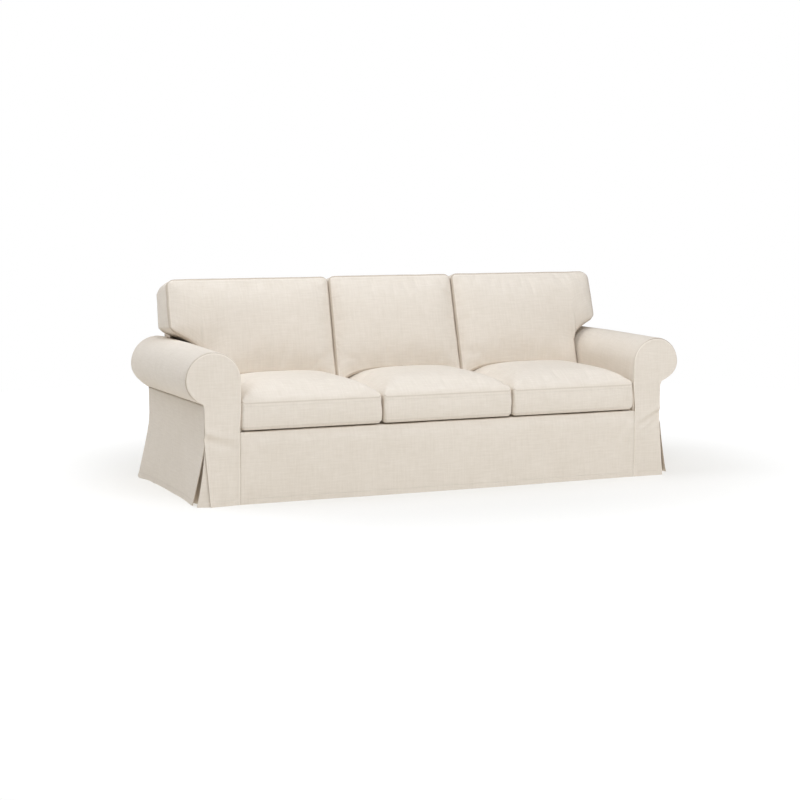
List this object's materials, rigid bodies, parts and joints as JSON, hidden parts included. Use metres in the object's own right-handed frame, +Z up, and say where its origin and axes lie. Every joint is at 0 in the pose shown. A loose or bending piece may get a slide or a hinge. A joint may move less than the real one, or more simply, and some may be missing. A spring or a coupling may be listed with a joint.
{
  "type": "sofa slipcover",
  "caption": "Fitted skirted slipcover for a three-seat sofa with rolled arms, hollow under its panels, with boxed and filled seat and back cushions in the same natural linen-look weave",
  "frame": {"origin": "the floor under the middle of the cover's box", "axes": "+X along the sofa to the right as seen from the front, -Y towards the front, +Z up"},
  "size_m": [2.1856, 0.8813, 0.8511],
  "materials": {
    "cover_cloth": "matte natural linen-look plain weave with fine slubs",
    "cushion_cloth": "the same matte weave over a soft filling, with felled seams"
  },
  "bodies": {
    "root": {"front_apron": "cover_cloth", "seat_deck": "cover_cloth", "arm_front_left": "cover_cloth", "arm_front_right": "cover_cloth", "arm_roll_left": "cover_cloth", "arm_roll_right": "cover_cloth", "arm_side_left": "cover_cloth", "arm_side_right": "cover_cloth", "arm_back_left": "cover_cloth", "arm_back_right": "cover_cloth", "pleat_underlay_front_left": "cover_cloth", "pleat_underlay_front_right": "cover_cloth", "pleat_underlay_rear_left": "cover_cloth", "pleat_underlay_rear_right": "cover_cloth", "inside_back": "cover_cloth", "outside_back": "cover_cloth", "back_band": "cover_cloth", "seat_cushion_left": "cushion_cloth", "seat_cushion_middle": "cushion_cloth", "seat_cushion_right": "cushion_cloth", "back_cushion_left": "cushion_cloth", "back_cushion_middle": "cushion_cloth", "back_cushion_right": "cushion_cloth"}
  },
  "joints": []
}
